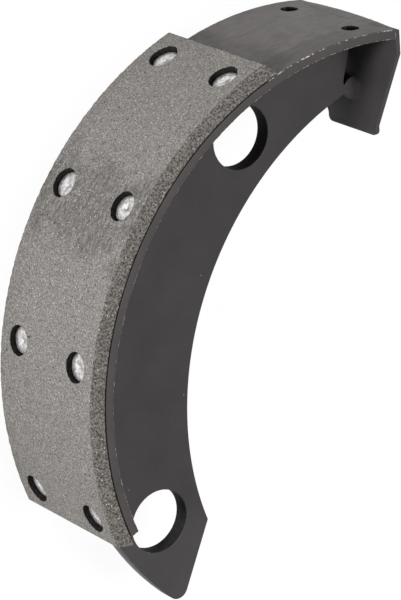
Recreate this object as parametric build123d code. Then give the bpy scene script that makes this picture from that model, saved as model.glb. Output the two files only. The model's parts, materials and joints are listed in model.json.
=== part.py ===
from build123d import *
import os
from math import asin, cos, degrees, radians, sin, sqrt, tan

# Brake shoe of a heavy drum brake: a flat web welded inside a rolled rim, an end plate
# for the brake cam at one end, and a friction lining riveted to the rim.
# The origin is on the drum's axis, half way across the shoe. Z is the drum's axis.
# Angles are in degrees round Z from +X, so the middle of the rim faces -X.
# Lengths are in millimetres.

# Drum that the shoe works in
drum_radius = 175.0
shoe_width = 80.0

# Lining
lining_thickness = 9.0
lining_arc_angle = 91.0
lining_middle_angle = 193.1
lining_bevel_angle = 30.0

# Rim
rim_thickness = 5.0
plate_end_angle = 119.7
anchor_end_angle = 238.6

# Web
web_thickness = 9.0
web_depth = 74.4
deepest_angle = 195.0
web_inner_radius = 162.2
tip_angle = 268.6
tip_edge_radius = 173.0
flank_slant_angle = 15.1
tip_rounding = 5.3
heel_rounding = 3.0

# Holes through the web
web_hole_diameter = 34.0
spring_hole_angle = 150.9
spring_hole_inset = 34.0
anchor_hole_angle = 251.3
anchor_hole_inset = 24.75

# Cope: the corner of the web that is left open where the rim meets the end plate
cope_depth = 31.5
cope_rounding = 3.0
cope_slope_angle = 30.0
cope_lean_angle = 4.0

# End plate that the cam pushes on
plate_thickness = 2.5
plate_length = 61.3
plate_lean_angle = 9.5
plate_shoulder = 13.2
plate_tab_length = 5.0
plate_tab_width = 39.2
tab_rounding = 3.0

# Rivets and their holes
row_pitch_angle = 27.2
row_count = 5
rows_middle_angle = 180.0
rivet_gauge = 50.0
rivet_hole_diameter = 9.0
shank_clearance = 0.1
rivet_head_diameter = 14.0
rivet_head_thickness = 1.6
head_below_lining = 2.4
head_bevel = 0.4
head_clearance = 0.75
tail_diameter = 13.5
tail_height = 2.4
tail_bevel = 0.9
tail_bore_diameter = 5.2
tail_bore_depth = 10.0
drive_mark_diameter = 2.4
drive_mark_depth = 0.4

# Weld beads
stitch_leg = 4.0
stitch_arc_angle = 13.0
foot_weld_leg = 5.0
foot_weld_reach = 7.0
foot_weld_overrun = 3.0
bead_bulge = 0.6
end_weld_width = 76.0
end_weld_rise = 1.4
end_weld_lap = 6.0
end_weld_shoulder = 0.5

# Sizes that follow from the ones above
half_width = shoe_width / 2
half_web = web_thickness / 2
rim_outer_radius = drum_radius - lining_thickness
rim_inner_radius = rim_outer_radius - rim_thickness
web_centre_shift = web_inner_radius - (rim_inner_radius - web_depth)
trim_reach = 2 * drum_radius

os.makedirs("parts", exist_ok=True)


def polar(radius, angle, height=0.0):
    """The point at a radius and angle round the drum's axis."""
    return Vector(radius * cos(radians(angle)), radius * sin(radians(angle)), height)


def arc_sector(inner, outer, inner_ends, outer_ends):
    """A face between two arcs about the drum's axis, each with its own end angles."""
    outer_arc = CenterArc((0, 0), outer, outer_ends[0], outer_ends[1] - outer_ends[0])
    inner_arc = CenterArc((0, 0), inner, inner_ends[0], inner_ends[1] - inner_ends[0])
    first_end = Line(inner_arc @ 0, outer_arc @ 0)
    last_end = Line(inner_arc @ 1, outer_arc @ 1)
    return make_face([outer_arc, last_end, inner_arc, first_end])


def across_shoe(face, width):
    """The face made into a solid that is centred across the shoe."""
    return extrude(face, amount=width / 2, both=True)


def rounded_corner(sheet, near, radius):
    """The sheet with the corner that lies nearest to a point rounded off."""
    corner = sheet.vertices().sort_by_distance(near)[0]
    return fillet(corner, radius)


# The rows of rivet holes, and the rows that the lining covers


def rim_rows():
    """The angle of each row of holes in the rim."""
    first = rows_middle_angle - row_pitch_angle * (row_count - 1) / 2
    return [first + row_pitch_angle * row for row in range(row_count)]


def lining_ends():
    """The angles at which the friction surface starts and stops."""
    return lining_middle_angle - lining_arc_angle / 2, lining_middle_angle + lining_arc_angle / 2


def lining_rows():
    """The angle of each row that has rivets."""
    start, stop = lining_ends()
    return [angle for angle in rim_rows() if start < angle < stop]


def stations(rows):
    """A frame for each hole: its origin is on the drum's axis, its Z points outwards."""
    heights = (-rivet_gauge / 2, rivet_gauge / 2)
    return [
        Plane(origin=(0, 0, height), x_dir=(0, 0, 1), z_dir=polar(1, angle)).location
        for angle in rows
        for height in heights
    ]


def hole_between(low, high, diameter):
    """A drill for a station, from one radius of the drum to another."""
    return Pos(0, 0, low) * Cylinder(
        diameter / 2, high - low, align=(Align.CENTER, Align.CENTER, Align.MIN)
    )


# The end plate's own frame: x runs across the shoe, y towards the cam, z towards the axis


def plate_frame():
    """The frame on the end plate's inner face, at the rim's outside."""
    start = polar(rim_outer_radius, plate_end_angle)
    down = -polar(1, plate_end_angle + plate_lean_angle)
    return Plane(origin=start, x_dir=(0, 0, -1), z_dir=down)


def beyond_plate():
    """All the room on the cam's side of the end plate's inner face."""
    room = Box(trim_reach, trim_reach, trim_reach, align=(Align.CENTER, Align.MIN, Align.CENTER))
    return plate_frame().location * room


def plate_outline():
    """The plate seen face on: full width at the rim, tapered to a narrow tab."""
    tab = plate_tab_width / 2
    right_side = [
        (half_width, -rim_thickness),
        (half_width, plate_shoulder),
        (tab, plate_length - plate_tab_length),
        (tab, plate_length),
    ]
    left_side = [(-x, y) for x, y in reversed(right_side)]
    outline = make_face(Polyline(*right_side, *left_side, close=True))
    corners = outline.vertices().group_by(Axis.Y)[-1]
    return fillet(corners, tab_rounding)


def make_end_plate():
    frame = plate_frame()
    face_on = Plane(origin=frame.origin, x_dir=frame.x_dir, z_dir=-frame.y_dir)
    plate = extrude(face_on * plate_outline(), amount=-plate_thickness)
    return plate & Cylinder(rim_outer_radius, 2 * shoe_width)


# Rim, lining and rivets


def make_rim():
    ends = (plate_end_angle - plate_lean_angle, anchor_end_angle)
    rim = across_shoe(arc_sector(rim_inner_radius, rim_outer_radius, ends, ends), shoe_width)
    rim -= beyond_plate()
    for station in stations(rim_rows()):
        rim -= station * hole_between(rim_inner_radius / 2, drum_radius, rivet_hole_diameter)
    return rim


def make_lining():
    start, stop = lining_ends()
    overhang = degrees(asin(lining_thickness * tan(radians(lining_bevel_angle)) / rim_outer_radius))
    inner_ends = (start - overhang, stop + overhang)
    face = arc_sector(rim_outer_radius, drum_radius, inner_ends, (start, stop))
    lining = across_shoe(face, shoe_width)
    mouth = rivet_head_diameter + 2 * head_clearance
    floor = drum_radius - head_below_lining - rivet_head_thickness
    for station in stations(lining_rows()):
        lining -= station * hole_between(rim_inner_radius, drum_radius, rivet_hole_diameter)
        lining -= station * hole_between(floor, drum_radius + rim_thickness, mouth)
    return lining


def make_rivet():
    """A semi-tubular rivet in a station's frame, set: its head below the friction
    surface, its hollow tail rolled out against the inside of the rim."""
    head_top = drum_radius - head_below_lining
    head_seat = head_top - rivet_head_thickness
    head_radius = rivet_head_diameter / 2
    shank_radius = rivet_hole_diameter / 2 - shank_clearance
    tail_radius = tail_diameter / 2
    tail_seat = sqrt(rim_inner_radius**2 - tail_radius**2)
    tail_end = tail_seat - tail_height
    bore_radius = tail_bore_diameter / 2
    mark_radius = drive_mark_diameter / 2
    section = Polyline(
        (0, head_top - drive_mark_depth),
        (mark_radius, head_top),
        (head_radius, head_top),
        (head_radius, head_seat),
        (shank_radius, head_seat),
        (shank_radius, tail_seat),
        (tail_radius, tail_seat),
        (tail_radius, tail_end),
        (bore_radius, tail_end),
        (bore_radius, tail_end + tail_bore_depth),
        (0, tail_end + tail_bore_depth),
        close=True,
    )
    profile = make_face(section)
    edges = ((head_radius, head_top, head_bevel), (tail_radius, tail_end, tail_bevel))
    for x, y, bevel in edges:
        corner = profile.vertices().sort_by_distance(Vector(x, y))[0]
        profile = chamfer(corner, bevel)
    return revolve(Plane.XZ * profile, Axis.Z)


def make_rivets():
    rivet = make_rivet()
    return Compound([station * rivet.solid() for station in stations(lining_rows())])


# Web


def cope_cut():
    """The corner that is left open between the web's end, the rim and the end plate."""
    top = rim_outer_radius
    bottom = rim_inner_radius - cope_depth
    inset = cope_depth / 2 * tan(radians(cope_lean_angle))
    reach = cope_depth / 2
    rise = reach * tan(radians(cope_slope_angle))
    corners = [(top, -inset), (bottom, inset), (bottom + rise, -reach), (top, -reach)]
    face = rounded_corner(make_face(Polyline(*corners, close=True)), Vector(bottom, inset), cope_rounding)
    return Rot(0, 0, plate_end_angle) * face


def beyond_line(start, angle):
    """All that lies past a line through a point, turning on round the drum's axis."""
    sheet = Rectangle(trim_reach, trim_reach, align=(Align.CENTER, Align.MIN))
    return Location(start, (0, 0, angle)) * sheet


def beyond_flank():
    """All that lies past the straight flank between the tip and the web's inner edge."""
    return beyond_line(polar(rim_inner_radius, tip_angle), tip_angle + flank_slant_angle)


def tip_sheet():
    """The web past the rim's end, where its outer edge runs on a flatter arc."""
    centre = polar(rim_inner_radius - tip_edge_radius, anchor_end_angle)
    return Location(centre) * Circle(tip_edge_radius) & beyond_line(Vector(0, 0), anchor_end_angle)


def web_holes():
    """The centre of each hole through the web."""
    spring_hole = polar(rim_inner_radius - spring_hole_inset, spring_hole_angle)
    anchor_hole = polar(rim_inner_radius - anchor_hole_inset, anchor_hole_angle)
    return [spring_hole, anchor_hole]


def make_web():
    inner_edge = Location(-polar(web_centre_shift, deepest_angle)) * Circle(web_inner_radius)
    sheet = Circle(rim_inner_radius) + tip_sheet() - inner_edge - beyond_flank()
    sheet = rounded_corner(sheet, polar(rim_inner_radius, tip_angle), tip_rounding)
    sheet = rounded_corner(sheet, polar(rim_inner_radius - web_depth, tip_angle), heel_rounding)
    sheet -= cope_cut()
    for centre in web_holes():
        sheet -= Location(centre) * Circle(web_hole_diameter / 2)
    return across_shoe(sheet, web_thickness) - beyond_plate()


# Weld beads


def bead_section(leg, other_leg):
    """A fillet weld's section: a right-angled corner at the origin with a bulged face."""
    middle = (leg / 2 + bead_bulge, other_leg / 2 + bead_bulge)
    return make_face(
        [
            Line((0, 0), (leg, 0)),
            ThreePointArc((leg, 0), middle, (0, other_leg)),
            Line((0, other_leg), (0, 0)),
        ]
    )


def make_stitches(side):
    """The short welds between the web and the rim, half way between the rivet rows."""
    corner = Plane(origin=(rim_inner_radius, 0, side * half_web), x_dir=(-1, 0, 0), z_dir=(0, side, 0))
    section = corner * bead_section(stitch_leg, stitch_leg)
    beads = []
    for angle in rim_rows()[:-1]:
        start = angle + (row_pitch_angle - stitch_arc_angle) / 2
        bead = revolve(section, Axis.Z, stitch_arc_angle)
        beads.append((Rot(0, 0, start) * bead).solid())
    return Compound(beads)


def make_foot_weld(web, side):
    """The weld that joins one face of the web's foot to the end plate."""
    frame = plate_frame()
    foot_end = web.faces().sort_by(Axis(frame.origin, frame.y_dir))[-1]
    foot = frame.to_local_coords(foot_end).bounding_box()
    corner = Plane(
        origin=(side * half_web, 0, foot.center().Z),
        x_dir=(side, 0, 0),
        z_dir=(0, 0, -side),
    )
    length = foot.size.Z + 2 * foot_weld_overrun
    section = corner * bead_section(foot_weld_leg, foot_weld_reach)
    bead = extrude(section, amount=length / 2, both=True)
    return frame.location * bead - beyond_plate()


def make_end_weld():
    """The weld over the rim's end and the end plate's edge, dressed to a low arch."""
    lap = (-end_weld_lap, rim_outer_radius)
    ridge = (0, rim_outer_radius + end_weld_rise)
    edge = (plate_thickness, rim_outer_radius + end_weld_rise - end_weld_shoulder)
    below = rim_outer_radius - end_weld_rise - rim_thickness
    section = make_face(
        [
            ThreePointArc(lap, ridge, edge),
            Polyline(edge, (plate_thickness, below), (-end_weld_lap, below), lap),
        ]
    )
    arch_radius = (end_weld_width**2 / 4 + end_weld_rise**2) / (2 * end_weld_rise)
    arch_axis = Axis((0, 0, ridge[1] - arch_radius), (0, 1, 0))
    turn = 2 * degrees(asin(end_weld_width / 2 / arch_radius))
    bead = revolve(Plane.YZ * section, arch_axis, turn).rotate(arch_axis, -turn / 2)
    rim_end = Plane(origin=(0, 0, 0), x_dir=(0, 0, 1), z_dir=polar(1, plate_end_angle))
    return rim_end.location * bead - Cylinder(rim_outer_radius, 2 * shoe_width)


web = make_web()
nodes = {
    "rim": make_rim(),
    "lining": make_lining(),
    "lining_rivets": make_rivets(),
    "end_plate": make_end_plate(),
    "web": web,
    "rim_welds_upper": make_stitches(1),
    "rim_welds_lower": make_stitches(-1),
    "foot_weld_upper": make_foot_weld(web, -1),
    "foot_weld_lower": make_foot_weld(web, 1),
    "end_weld": make_end_weld(),
}

for name, shape in nodes.items():
    export_step(shape, f"parts/{name}.step")
    print(name, "volume", round(shape.volume), "mm3")
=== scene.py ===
# %% [markdown]
# A drum-brake shoe, piece by piece
#
# A drum-brake shoe is a welded steel carrier with a block of friction material riveted to
# it. Its construction is already settled: every piece has its real size and place in one
# shared frame, with the drum's axis at the origin. This lesson loads that frame, models
# each piece again with the edges, bevels and beads that catch the light, and gives each
# one the finish of the real thing.

# %% Load the frame
import json
from math import asin, atan2, cos, degrees, hypot, pi, radians, sin, sqrt, tan

import bmesh
import bpy
from mathutils import Matrix, Vector, noise


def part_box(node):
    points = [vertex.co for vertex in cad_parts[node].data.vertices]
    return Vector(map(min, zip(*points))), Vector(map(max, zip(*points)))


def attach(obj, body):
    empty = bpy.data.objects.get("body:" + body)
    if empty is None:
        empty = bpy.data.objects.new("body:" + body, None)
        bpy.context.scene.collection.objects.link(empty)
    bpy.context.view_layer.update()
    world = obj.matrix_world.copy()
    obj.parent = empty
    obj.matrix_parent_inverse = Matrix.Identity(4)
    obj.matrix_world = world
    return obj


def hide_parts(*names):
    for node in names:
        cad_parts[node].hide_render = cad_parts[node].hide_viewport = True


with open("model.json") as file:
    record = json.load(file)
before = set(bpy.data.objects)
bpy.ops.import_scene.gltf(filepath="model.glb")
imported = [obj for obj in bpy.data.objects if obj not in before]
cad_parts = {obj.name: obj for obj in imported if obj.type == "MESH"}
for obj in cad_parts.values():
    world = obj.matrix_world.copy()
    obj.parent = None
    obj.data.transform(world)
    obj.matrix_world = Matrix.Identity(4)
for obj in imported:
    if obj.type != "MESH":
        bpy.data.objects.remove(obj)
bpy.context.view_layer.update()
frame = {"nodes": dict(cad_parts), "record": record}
print("pieces:", ", ".join(sorted(frame["nodes"])))

# %% [markdown]
# The sizes that the whole lesson uses
#
# The drum sets everything. The lining's outside is the drum's radius, the rim lies inside
# the lining, and the web stands inside the rim. The loaded frame gives the outer sizes, so
# only the thicknesses and the angles between the pieces are written down here. Angles are
# in degrees round the drum's axis, and the middle of the shoe is at 180.

# %% Sizes
MM = 0.001
DRUM_RADIUS = -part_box("lining")[0].x
HALF_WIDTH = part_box("rim")[1].z
HALF_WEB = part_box("web")[1].z
LINING_THICKNESS = 9 * MM
RIM_THICKNESS = 5 * MM
RIM_OUTER = DRUM_RADIUS - LINING_THICKNESS
RIM_INNER = RIM_OUTER - RIM_THICKNESS
PLATE_END = 119.7
ANCHOR_END = 238.6
LINING_ENDS = (147.6, 238.6)
LINING_BEVEL = 30.0
ROWS = [125.6, 152.8, 180.0, 207.2, 234.4]
LINING_ROWS = ROWS[1:]
RIVET_SIDE = 25 * MM
print("drum radius", round(DRUM_RADIUS / MM, 1), "mm")
print("shoe width", round(2 * HALF_WIDTH / MM, 1), "mm")

# %% [markdown]
# The camera
#
# A long lens far from the shoe keeps its arcs almost free of perspective. The camera is
# given by where it stands and by two directions: where it looks, and which way is up in
# the image. Angles about three axes would do too, but two directions are easier to check
# against the shoe. The shoe lies on its side, so the camera looks down on it.

# %% Camera
IMAGE_HEIGHT = 600
FOCAL_PIXELS = 3383.0
CAMERA_PLACE = Vector((-1186.8, -106.7, 1311.7)) * MM
LOOKS = Vector((0.643182, 0.050855, -0.764022)).normalized()
IMAGE_UP = Vector((-0.37515, 0.89085, -0.25622))


def add_camera():
    """A camera whose own axes are the image's right, its up and the way back to it."""
    bpy.ops.object.select_all(action="DESELECT")
    bpy.ops.object.camera_add(location=CAMERA_PLACE)
    camera = bpy.context.object
    right = LOOKS.cross(IMAGE_UP).normalized()
    up = right.cross(LOOKS)
    camera.rotation_euler = Matrix((right, up, -LOOKS)).transposed().to_euler()
    camera.data.lens = FOCAL_PIXELS / IMAGE_HEIGHT * camera.data.sensor_width
    bpy.context.scene.camera = camera
    return camera


print("lens", round(add_camera().data.lens, 1), "mm")

# %% [markdown]
# Places round the drum
#
# Almost everything on the shoe is placed from the drum's axis, by a radius and an angle.
# X and Y could be worked out each time, but two small helpers that turn one kind of place
# into the other keep every later line short.

# %% Places and angles


def polar(radius, angle, height=0.0):
    """The point at a radius and an angle round the drum's axis."""
    return Vector((radius * cos(radians(angle)), radius * sin(radians(angle)), height))


def angle_of(point):
    """A point's angle round the drum's axis, from 0 to 360 degrees."""
    return degrees(atan2(point.y, point.x)) % 360


print("the lining's middle:", polar(DRUM_RADIUS, 180).to_tuple(3))

# %% [markdown]
# Working as by hand
#
# Each piece starts as a primitive and is shaped in edit mode, so a few small helpers save
# a lot of clicking: one makes a piece the only selected one, one opens it for editing, and
# one selects by place. A selected piece that is forgotten would be changed too, so every
# piece is made the only selected one before an operator runs on it.

# %% Selecting and editing


def alone(piece):
    """Selects one piece and nothing else."""
    bpy.ops.object.select_all(action="DESELECT")
    piece.select_set(True)
    bpy.context.view_layer.objects.active = piece


def edit(piece):
    """Opens one piece in edit mode with all of it selected."""
    alone(piece)
    bpy.ops.object.mode_set(mode="EDIT")
    bpy.ops.mesh.select_all(action="SELECT")


def leave_edit():
    """Goes back to object mode, which keeps the edits."""
    bpy.ops.object.mode_set(mode="OBJECT")


def choose(piece, kind, test):
    """In edit mode, selects the vertices, edges or faces that pass a test."""
    bpy.ops.mesh.select_mode(type=kind)
    bpy.ops.mesh.select_all(action="DESELECT")
    shape = bmesh.from_edit_mesh(piece.data)
    items = {"VERT": shape.verts, "EDGE": shape.edges, "FACE": shape.faces}[kind]
    for item in items:
        item.select = test(item)
    shape.select_flush_mode()
    bmesh.update_edit_mesh(piece.data)


# %% [markdown]
# Modifiers that are applied at once
#
# Bevels and cuts could be made face by face, but a modifier does them evenly and takes
# its numbers by name. Each is applied as soon as it is added, so that the next step works
# on real faces. A bevel can give its new faces a material number of their own. It only
# does so if the mesh has that many material slots, so empty ones are added first.

# %% Modifiers
WORN = 1


def modify(piece, kind, **settings):
    """Adds a modifier, sets it and applies it."""
    alone(piece)
    modifier = piece.modifiers.new(kind.lower(), kind)
    for setting, value in settings.items():
        setattr(modifier, setting, value)
    bpy.ops.object.modifier_apply(modifier=modifier.name)


def bevel_edges(piece, width, finishes=2):
    """Rounds every sharp edge, and gives the new faces the second of its finishes."""
    for _ in range(finishes):
        piece.data.materials.append(None)
    modify(
        piece,
        "BEVEL",
        width=width,
        segments=2,
        limit_method="ANGLE",
        angle_limit=radians(35),
        use_clamp_overlap=False,
        material=WORN,
    )


def combine(piece, tool, operation="DIFFERENCE"):
    """Cuts a piece with a tool, or keeps what they share, and takes the tool away."""
    modify(piece, "BOOLEAN", object=tool, operation=operation, solver="EXACT")
    bpy.data.objects.remove(tool)


# %% [markdown]
# Tidying a mesh
#
# Spins, copies and cuts leave corners twice in one place and faces that point inwards, and
# both spoil the shading. They could be hunted down by eye, but merging and recalculating
# mends them all. A closed mesh has two faces at every edge, so counting the edges that
# don't is a quick check that nothing was left open.

# %% Tidying


def tidy_normals(piece):
    """Merges doubled corners and turns every face outwards."""
    edit(piece)
    bpy.ops.mesh.remove_doubles(threshold=0.002 * MM)
    bpy.ops.mesh.normals_make_consistent(inside=False)
    leave_edit()


def smooth(piece, angle=30):
    """Shades a piece smooth, except across edges that are sharper than an angle."""
    alone(piece)
    bpy.ops.object.shade_smooth_by_angle(angle=radians(angle))


def finish_faces(piece, index, test):
    """Gives the faces that pass a test one of the piece's materials, by its number."""
    for face in piece.data.polygons:
        if test(face):
            face.material_index = index


def closed(piece):
    """How many faces a piece has, and how many of its edges don't join exactly two."""
    shape = bmesh.new()
    shape.from_mesh(piece.data)
    open_edges = sum(not edge.is_manifold for edge in shape.edges)
    shape.free()
    return f"{piece.name}: {len(piece.data.polygons)} faces, {open_edges} open edges"


# %% [markdown]
# Rolled strips
#
# The rim and the lining are both strips bent round the drum's axis. A bent box would do
# for their outline, but a small upright grid that is spun in short steps gives even faces
# all over, and the chipped edges need those. The grid is the strip's cross-section, so its
# cells set how finely the strip is cut through and across.

# %% Rolled strip
CELLS_ACROSS = 60


def rolled_strip(name, inner, outer, ends, cell, deep):
    """A strip between two radii, spun from one angle to another in steps of a length."""
    bpy.ops.object.select_all(action="DESELECT")
    bpy.ops.mesh.primitive_grid_add(x_subdivisions=deep, y_subdivisions=CELLS_ACROSS, size=1)
    strip = bpy.context.object
    strip.name = name
    middle = Matrix.Translation(((inner + outer) / 2, 0, 0))
    upright = Matrix.Rotation(pi / 2, 4, "X")
    size = Matrix.Diagonal((outer - inner, 2 * HALF_WIDTH, 1, 1))
    turn = Matrix.Rotation(radians(ends[0]), 4, "Z")
    strip.data.transform(turn @ middle @ upright @ size)
    arc = radians(ends[1] - ends[0])
    steps = round(outer * arc / cell)
    edit(strip)
    bpy.ops.mesh.spin(steps=steps, angle=-arc, center=(0, 0, 0), axis=(0, 0, 1))
    leave_edit()
    tidy_normals(strip)
    return strip


# %% [markdown]
# Wear along an edge
#
# No real edge is perfect. Friction material crumbles along its corners, and a steel strip
# that has been handled gets nicks. A bump in the material could hint at them, but only
# the mesh changes the outline. After an edge is bevelled, its corners sit on a line of
# short steps, so some of them are pushed inwards by a noise that changes along the edge.
# The noise depends only on place, so the chips are the same each time.

# %% Edge wear
FACE_SHARE = 0.6


def chip_depth(place, size, share):
    """How deep a chip is at a place, from 0 to 1, for chips of about one size."""
    level = 0.5 + 0.5 * noise.noise(place / size)
    fine = 0.5 + 0.5 * noise.noise(place / size * 3.1 + Vector((7, 3, 5)))
    worn = 0.75 * level + 0.25 * fine
    return max(0.0, worn - (1 - share)) / share


def wear_strip_edges(strip, inner, outer, reach, depth, size, share):
    """Chips the four long edges of a rolled strip, less on its faces than on its sides."""
    middle = (inner + outer) / 2
    for vertex in strip.data.vertices:
        radius = hypot(vertex.co.x, vertex.co.y)
        from_face = outer - radius if radius > middle else radius - inner
        from_side = HALF_WIDTH - abs(vertex.co.z)
        if max(from_face, from_side) > reach:
            continue
        near = 1 - max(from_face, from_side) / reach
        push = depth * near * chip_depth(vertex.co, size, share)
        inwards = -1 if radius > middle else 1
        new_radius = radius + inwards * push * FACE_SHARE
        vertex.co.x *= new_radius / radius
        vertex.co.y *= new_radius / radius
        vertex.co.z -= push if vertex.co.z > 0 else -push


# %% [markdown]
# Turned pieces
#
# Rivets and the drills that make room for them are round, so both are turned. A spun
# outline would do, but a disc that is extruded and resized step by step works as a lathe
# does, from one end to the other, and closes both ends by itself. A station is where a
# rivet goes: its frame stands on the drum's axis and points outwards at an angle.

# %% Turned piece
TURNED_SIDES = 48


def turned(name, outline):
    """A piece turned about Z from (radius, height) steps, closed at both ends."""
    bpy.ops.object.select_all(action="DESELECT")
    radius, height = outline[0]
    bpy.ops.mesh.primitive_circle_add(vertices=TURNED_SIDES, radius=radius, fill_type="NGON")
    piece = bpy.context.object
    piece.name = name
    piece.data.transform(Matrix.Translation((0, 0, height)))
    edit(piece)
    bpy.ops.mesh.select_mode(type="FACE")
    for next_radius, next_height in outline[1:]:
        bpy.ops.mesh.extrude_region_move(
            TRANSFORM_OT_translate={"value": (0, 0, next_height - height)}
        )
        scale = next_radius / radius
        bpy.ops.transform.resize(value=(scale, scale, 1), center_override=(0, 0, next_height))
        radius, height = next_radius, next_height
    leave_edit()
    tidy_normals(piece)
    return piece


def station(angle, height):
    """A frame on the drum's axis whose Z points outwards at an angle."""
    out = polar(1, angle)
    across = Vector((0, 0, 1))
    rows = Matrix((across, out.cross(across), out)).transposed().to_4x4()
    return Matrix.Translation((0, 0, height)) @ rows


# %% [markdown]
# The rivet holes
#
# Each rivet's head is sunk in a counterbore with a slightly flared mouth, and a narrower
# hole takes its shank. The holes could be drilled one after another, but one stepped
# cutter that is turned, copied to every station and joined cuts them all at once. The
# walls that it leaves are found again by their distance from a station's axis.

# %% Rivet holes
HEAD_TOP = DRUM_RADIUS - 3.0 * MM
HEAD_SEAT = HEAD_TOP - 1.0 * MM
HEAD_RADIUS = 7 * MM
MOUTH_RADIUS = HEAD_RADIUS + 0.75 * MM
MOUTH_FLARE = 0.35 * MM
HOLE_RADIUS = 4.5 * MM


def join(pieces):
    """Several meshes made one."""
    alone(pieces[0])
    for piece in pieces:
        piece.select_set(True)
    bpy.ops.object.join()
    return pieces[0]


def hole_cutters(rows, outline):
    """One turned cutter at each station of some rows, joined."""
    cutters = []
    for angle in rows:
        for height in (-RIVET_SIDE, RIVET_SIDE):
            cutter = turned("cutter", outline)
            cutter.data.transform(station(angle, height))
            cutters.append(cutter)
    return join(cutters)


def in_a_hole(rows, radius):
    """A test for faces that lie within a radius of a station's own axis."""
    axes = [(polar(1, angle), side) for angle in rows for side in (-RIVET_SIDE, RIVET_SIDE)]

    def test(face):
        for out, side in axes:
            offset = face.center - Vector((0, 0, side))
            if offset.dot(out) > 0 and (offset - out * offset.dot(out)).length < radius:
                return True
        return False

    return test


print("stations:", 2 * len(ROWS), "in the rim,", 2 * len(LINING_ROWS), "in the lining")

# %% [markdown]
# The lining
#
# The friction block is moulded, ground to the drum's radius and cut with slanted ends.
# It could be cut from a thick tube, but the rolled strip has the small even faces that chips
# need. The ends are slanted by sliding each corner round the axis in proportion to its depth.
# Its outside is ground, its sides are as moulded, and its holes and the seam above the rim are
# given painted shade, so it has three finishes.

# %% Lining
LINING_CELL = 0.9 * MM
LINING_CELLS_DEEP = 9
MOULDED = 1
# The material number for painted shade: the counterbores' walls and the seam above the rim.
PAINTED_SHADE = 2


def slant_ends(lining):
    """Slides the lining's corners round the axis, further the deeper they are."""
    overhang = degrees(asin((DRUM_RADIUS - RIM_OUTER) * tan(radians(LINING_BEVEL)) / RIM_OUTER))
    start, stop = LINING_ENDS
    for vertex in lining.data.vertices:
        radius = hypot(vertex.co.x, vertex.co.y)
        share = (angle_of(vertex.co) - start) / (stop - start)
        deep = (DRUM_RADIUS - radius) / (DRUM_RADIUS - RIM_OUTER)
        slid = angle_of(vertex.co) + overhang * deep * (2 * share - 1)
        vertex.co = polar(radius, slid, vertex.co.z)


def model_lining():
    """The friction block with its slanted ends, chipped edges and counterbored holes."""
    lining = rolled_strip(
        "friction_lining", RIM_OUTER, DRUM_RADIUS, LINING_ENDS, LINING_CELL, LINING_CELLS_DEEP
    )
    slant_ends(lining)
    bevel_edges(lining, width=0.45 * MM, finishes=3)
    wear_strip_edges(
        lining, RIM_OUTER, DRUM_RADIUS, reach=0.8 * MM, depth=0.7 * MM, size=2.2 * MM, share=0.55
    )
    outline = [
        (HOLE_RADIUS, RIM_INNER),
        (HOLE_RADIUS, HEAD_SEAT),
        (MOUTH_RADIUS, HEAD_SEAT),
        (MOUTH_RADIUS, DRUM_RADIUS - MOUTH_FLARE),
        (MOUTH_RADIUS + 2 * MOUTH_FLARE, DRUM_RADIUS + MOUTH_FLARE),
        (MOUTH_RADIUS + 2 * MOUTH_FLARE, DRUM_RADIUS + 4 * MM),
    ]
    combine(lining, hole_cutters(LINING_ROWS, outline))
    ground = DRUM_RADIUS - 0.5 * MM
    seam = RIM_OUTER + 0.55 * MM
    finish_faces(lining, MOULDED, lambda face: face.center.xy.length < ground)
    # The seam above the rim and the counterbores' walls are darkened as painted shade.
    finish_faces(lining, PAINTED_SHADE, lambda face: face.center.xy.length < seam)
    finish_faces(lining, PAINTED_SHADE, in_a_hole(LINING_ROWS, MOUTH_RADIUS + 0.1 * MM))
    smooth(lining)
    return lining


lining = model_lining()
print(closed(lining))

# %% [markdown]
# The end plate's own frame
#
# The cam pushes on a flat plate across the rim's end, which leans a little from the
# radius towards the cam. Its corners could be worked out in the drum's frame, but they
# are far simpler along and across the plate. The rim and the web both end on its inner
# face, so its frame comes before them.

# %% End plate's frame
PLATE_THICKNESS = 2.5 * MM
PLATE_LENGTH = 61.3 * MM
PLATE_LEAN = 9.5


def plate_frame():
    """On the plate's inner face: X across the shoe, Y towards the cam, Z down the plate."""
    down = -polar(1, PLATE_END + PLATE_LEAN)
    across = Vector((0, 0, -1))
    rows = Matrix((across, down.cross(across), down)).transposed().to_4x4()
    return Matrix.Translation(polar(RIM_OUTER, PLATE_END)) @ rows


print("the plate's normal:", (plate_frame().to_3x3() @ Vector((0, 1, 0))).to_tuple(3))

# %% [markdown]
# The rim
#
# The rim is a strip of steel rolled to the lining's inner radius, so it starts as the
# lining does. Its upper end lies on the leaning end plate. A cut would leave that end
# without its neat rows of faces, so its corners are slid round the axis until they reach
# the plate instead. Its lower end is square.

# %% Rim
RIM_CELL = 1.1 * MM
RIM_CELLS_DEEP = 5
SHEARED = 3


def plate_face_angle(radius):
    """The angle at which the end plate's inner face crosses a radius of the rim."""
    return PLATE_END - degrees((RIM_OUTER - radius) * tan(radians(PLATE_LEAN)) / radius)


def under_lining(face):
    """Whether a face is on the rim's outside or its upper edges, below the lining."""
    outside = face.center.xy.length > RIM_OUTER - 0.35 * MM
    return outside and LINING_ENDS[0] + 0.5 < angle_of(face.center) < LINING_ENDS[1] - 0.5


def meet_plate(rim):
    """Slides the rim's corners round the axis until its upper end lies on the plate."""
    for vertex in rim.data.vertices:
        radius = hypot(vertex.co.x, vertex.co.y)
        start = plate_face_angle(radius)
        share = (angle_of(vertex.co) - PLATE_END) / (ANCHOR_END - PLATE_END)
        vertex.co = polar(radius, start + share * (ANCHOR_END - start), vertex.co.z)


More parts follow.
